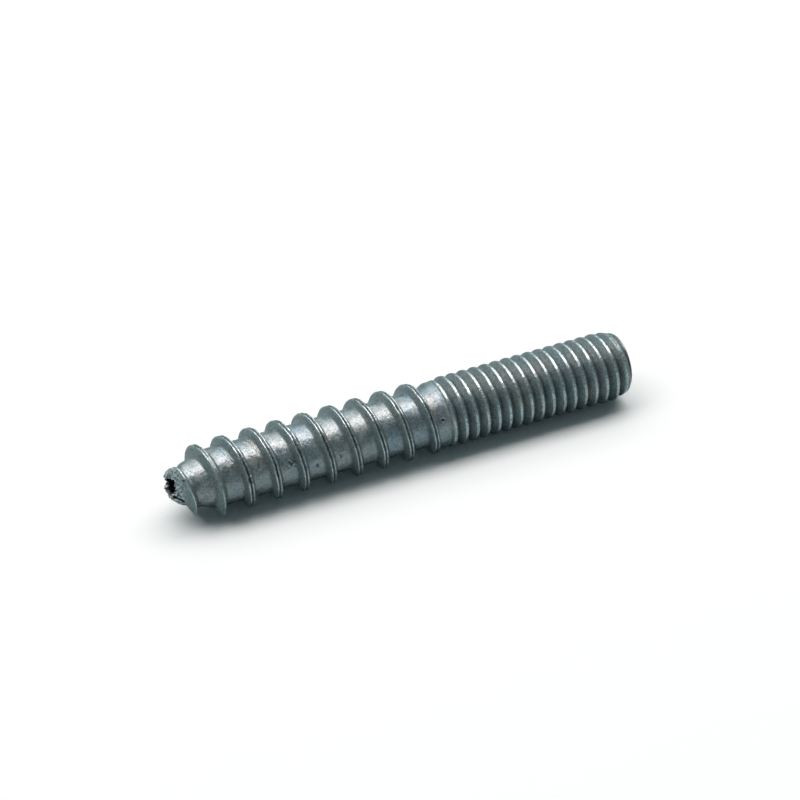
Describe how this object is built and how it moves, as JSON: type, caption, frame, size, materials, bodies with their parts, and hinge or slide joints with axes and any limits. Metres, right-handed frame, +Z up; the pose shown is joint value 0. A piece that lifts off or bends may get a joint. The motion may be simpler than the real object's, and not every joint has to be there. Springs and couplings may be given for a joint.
{
  "type": "hanger bolt",
  "caption": "Headless zinc-plated steel hanger bolt lying on its side, with a coarse wood thread and a torn tip at one end and a fine machine thread at the other",
  "frame": {"origin": "on the floor, under the middle of the bolt's length, below its axis", "axes": "+X runs along the bolt from the wood tip to the machine end, +Z is up, +Y points away from the camera side"},
  "size_m": [0.0644, 0.0098, 0.0097],
  "materials": {
    "zinc_plate": "satin zinc plating, grey-green, mottled, with small dents and nicked crests"
  },
  "bodies": {
    "root": {"hanger_bolt": "zinc_plate"}
  },
  "joints": []
}
